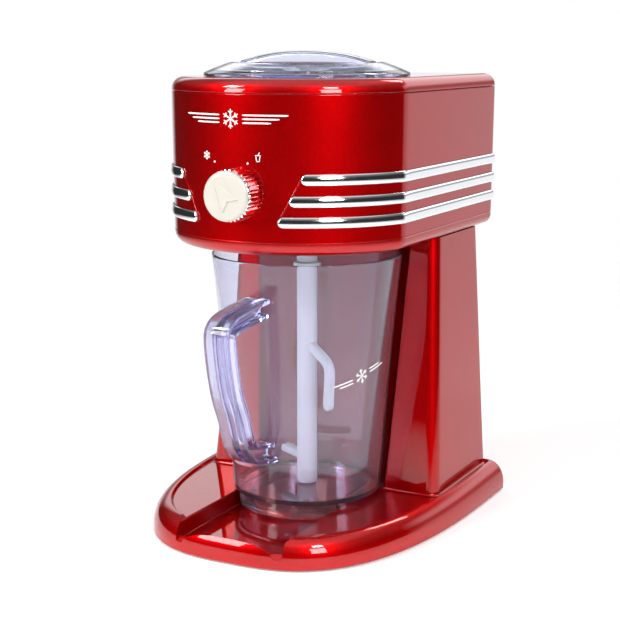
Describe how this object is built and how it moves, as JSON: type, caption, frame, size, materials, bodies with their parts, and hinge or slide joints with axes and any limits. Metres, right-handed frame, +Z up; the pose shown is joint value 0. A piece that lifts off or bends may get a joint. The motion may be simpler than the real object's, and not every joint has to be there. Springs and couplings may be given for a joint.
{
  "type": "slushie machine",
  "caption": "Countertop slushie machine: striped round-fronted head with a clear lid and selector knob, over a clear jug with a paddle that slides out of the base.",
  "frame": {"origin": "on the floor, under the middle of the whole machine", "axes": "+Z up, front of the machine towards -Y, +X to the right of someone who faces it"},
  "size_m": [0.2506, 0.2958, 0.3798],
  "materials": {
    "candy_red_plastic": "candy-apple metallic red under a clear coat",
    "chrome_trim": "bright chrome plating",
    "ivory_plastic": "ivory satin plastic",
    "clear_jug_plastic": "clear plastic with a lilac-blue tint",
    "clear_lid_plastic": "clear plastic with a blue tint",
    "white_plastic": "white satin plastic",
    "dark_plastic": "fine grained black plastic",
    "black_rubber": "matt rubber",
    "nylon": "natural nylon",
    "bronze": "sintered bronze",
    "steel": "plain steel"
  },
  "bodies": {
    "machine": {"base_plate": "dark_plastic", "base_screw_1": "steel", "base_screw_2": "steel", "base_screw_3": "steel", "base_screw_4": "steel", "base_shell": "candy_red_plastic", "blade_plate": "steel", "column_back_cover": "candy_red_plastic", "column_shell": "candy_red_plastic", "cord_gland": "black_rubber", "cover_screw_1": "steel", "cover_screw_2": "steel", "cover_screw_3": "steel", "cover_screw_4": "steel", "foot_1": "black_rubber", "foot_2": "black_rubber", "foot_3": "black_rubber", "foot_4": "black_rubber", "gearbox_lid": "dark_plastic", "gearbox_tray": "dark_plastic", "head_floor": "dark_plastic", "head_shell": "candy_red_plastic", "head_top_cover": "candy_red_plastic", "hopper": "clear_lid_plastic", "idler_pin": "steel", "lower_bush": "bronze", "motor": "steel", "motor_bracket": "steel", "selector_switch": "dark_plastic", "shaver_blade_1": "steel", "shaver_blade_2": "steel", "snow_chute": "white_plastic", "trim_strip_left_1": "chrome_trim", "trim_strip_left_2": "chrome_trim", "trim_strip_left_3": "chrome_trim", "trim_strip_right_1": "chrome_trim", "trim_strip_right_2": "chrome_trim", "trim_strip_right_3": "chrome_trim", "upper_bush": "bronze"},
    "lid": {"lid": "clear_lid_plastic"},
    "jug": {"jug": "clear_jug_plastic", "jug_handle": "clear_jug_plastic"},
    "paddle": {"paddle": "white_plastic"},
    "drive": {"drive_spindle": "steel", "main_gear": "nylon", "ice_pusher": "white_plastic"},
    "idler": {"idler_gear": "nylon"},
    "motor_rotor": {"motor_shaft": "steel", "motor_pinion": "bronze"},
    "knob": {"knob_ring": "chrome_trim", "knob_cap": "ivory_plastic", "knob_shaft": "steel"}
  },
  "joints": [
    {"name": "jug_slide", "type": "slide", "parent": "machine", "child": "jug", "axis": [0, -1, 0], "range_m": [0, 0.22]},
    {"name": "paddle_spin", "type": "hinge", "parent": "jug", "child": "paddle", "pos_m": [0, -0.01315, 0.12], "axis": [0, 0, 1], "continuous": true},
    {"name": "drive_spin", "type": "hinge", "parent": "machine", "child": "drive", "pos_m": [0, -0.01315, 0.27], "axis": [0, 0, 1], "continuous": true},
    {"name": "idler_spin", "type": "hinge", "parent": "machine", "child": "idler", "pos_m": [0, 0.04685, 0.27], "axis": [0, 0, 1], "continuous": true},
    {"name": "motor_spin", "type": "hinge", "parent": "machine", "child": "motor_rotor", "pos_m": [0, 0.09285, 0.27], "axis": [0, 0, 1], "continuous": true},
    {"name": "knob_turn", "type": "hinge", "parent": "machine", "child": "knob", "pos_m": [0, -0.125, 0.277], "axis": [0, 1, 0], "range_deg": [0, 74]},
    {"name": "lid_lift", "type": "slide", "parent": "machine", "child": "lid", "axis": [0, 0, 1], "range_m": [0, 0.12]}
  ],
  "couplings": [
    {"joint": "paddle_spin", "follows": "drive_spin", "ratio": 1},
    {"joint": "idler_spin", "follows": "drive_spin", "ratio": -0.76471},
    {"joint": "motor_spin", "follows": "drive_spin", "ratio": 2.1667}
  ]
}
